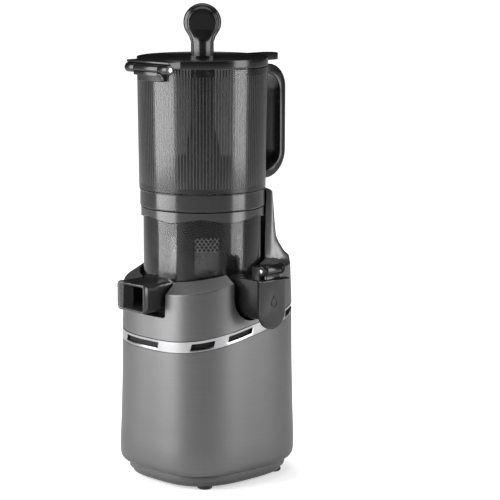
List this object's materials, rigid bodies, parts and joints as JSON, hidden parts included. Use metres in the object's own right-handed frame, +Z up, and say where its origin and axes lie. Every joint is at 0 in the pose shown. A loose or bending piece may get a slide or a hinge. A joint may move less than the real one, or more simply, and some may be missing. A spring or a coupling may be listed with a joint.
{
  "type": "cold press juicer",
  "caption": "Upright cold press juicer: charcoal motor base with rear tower, smoky bowl with strainer and auger, tall hopper with handle, hinged lid, pusher, flap spout and pulp chute.",
  "frame": {"origin": "middle of the whole outline, on the surface that the feet stand on", "axes": "+Z up, -Y towards the pulp chute at the front, +X towards the juice spout"},
  "size_m": [0.192, 0.215, 0.5068],
  "materials": {
    "foot_rubber": "matte black rubber",
    "plate_plastic": "matte dark grey",
    "shell_plastic": "fine satin charcoal",
    "band_chrome": "bright polished",
    "inner_black": "matte black",
    "smoky_plastic": "clear smoky gloss",
    "gloss_black": "gloss black",
    "seal_rubber": "soft silicone",
    "steel": "fine brushed",
    "screw_steel": "zinc plated",
    "cast_alloy": "as cast",
    "lamination": "stacked laminations",
    "winding_copper": "enamelled copper wire",
    "gear_nylon": "natural nylon",
    "board_green": "solder mask",
    "rocker_plastic": "semi gloss"
  },
  "bodies": {
    "base": {"rubber_feet": "foot_rubber", "base_plate": "plate_plastic", "base_screws": "screw_steel", "base_shell": "shell_plastic", "trim_band": "band_chrome", "vent_liner": "inner_black", "upper_shell": "shell_plastic", "bowl_seat": "inner_black", "shaft_seal": "seal_rubber", "interlock_sensor": "board_green", "gearbox_plate": "cast_alloy", "gearbox_cover": "cast_alloy", "gearbox_screws": "screw_steel", "output_bearings": "steel", "idler_pin": "steel", "motor_can": "steel", "stator": "lamination", "stator_windings": "winding_copper", "motor_bearings": "steel", "control_board": "board_green", "switch_housing": "inner_black", "cord_plate": "shell_plastic", "cord_gland": "seal_rubber"},
    "rotor": {"motor_shaft": "steel", "armature": "lamination", "motor_pinion": "steel", "cooling_fan": "inner_black"},
    "idler": {"idler_gear": "gear_nylon"},
    "output": {"output_gear": "gear_nylon", "output_shaft": "steel"},
    "rocker": {"rocker_switch": "rocker_plastic"},
    "bowl": {"bowl": "smoky_plastic", "bowl_gasket": "seal_rubber", "pulp_chute": "gloss_black", "juice_spout": "gloss_black", "flap_pin": "steel", "strainer_frame": "gloss_black", "strainer_mesh": "steel"},
    "auger": {"auger": "gloss_black", "auger_socket": "steel", "cutter_blade": "steel"},
    "flap": {"spout_flap": "gloss_black", "flap_seal": "seal_rubber"},
    "hopper": {"hopper_gasket": "seal_rubber", "hopper_ring": "gloss_black", "hopper_drum": "smoky_plastic", "hopper_funnel": "gloss_black", "hopper_handle": "gloss_black", "handle_screws": "screw_steel", "hopper_magnet": "steel", "hinge_bracket": "gloss_black"},
    "lid": {"lid": "gloss_black", "lid_hinge_pin": "steel", "pusher_collar": "gloss_black"},
    "pusher": {"pusher": "gloss_black", "pusher_tip": "seal_rubber"}
  },
  "joints": [
    {"name": "motor_spin", "type": "hinge", "parent": "base", "child": "rotor", "pos_m": [-0.00206, 0.01553, 0.0359], "axis": [0, 0, 1], "continuous": true},
    {"name": "idler_spin", "type": "hinge", "parent": "base", "child": "idler", "pos_m": [-0.016, 0.04175, 0.11475], "axis": [0, 0, 1], "continuous": true},
    {"name": "output_spin", "type": "hinge", "parent": "base", "child": "output", "pos_m": [-0.016, -0.0055, 0.1257], "axis": [0, 0, 1], "continuous": true},
    {"name": "bowl_lift", "type": "slide", "parent": "base", "child": "bowl", "axis": [0, 0, 1], "range_m": [0, 0.13]},
    {"name": "auger_spin", "type": "hinge", "parent": "bowl", "child": "auger", "pos_m": [-0.016, -0.0055, 0.18], "axis": [0, 0, 1], "continuous": true},
    {"name": "flap_hinge", "type": "hinge", "parent": "bowl", "child": "flap", "pos_m": [0.089, -0.0055, 0.23626], "axis": [0, -1, 0], "range_deg": [0, 100]},
    {"name": "hopper_turn", "type": "hinge", "parent": "bowl", "child": "hopper", "pos_m": [-0.016, -0.0055, 0.2933], "axis": [0, 0, 1], "range_deg": [0, 20]},
    {"name": "lid_hinge", "type": "hinge", "parent": "hopper", "child": "lid", "pos_m": [-0.016, -0.0805, 0.44224], "axis": [1, 0, 0], "range_deg": [0, 100]},
    {"name": "pusher_slide", "type": "slide", "parent": "lid", "child": "pusher", "axis": [0, 0, 1], "range_m": [-0.013, 0.066]},
    {"name": "rocker_tilt", "type": "hinge", "parent": "base", "child": "rocker", "pos_m": [-0.016, 0.08542, 0.07745], "axis": [1, 0, 0], "range_deg": [-9, 9]}
  ],
  "couplings": [
    {"joint": "idler_spin", "follows": "motor_spin", "ratio": -0.22222},
    {"joint": "output_spin", "follows": "motor_spin", "ratio": 0.052288},
    {"joint": "auger_spin", "follows": "motor_spin", "ratio": 0.052288}
  ]
}
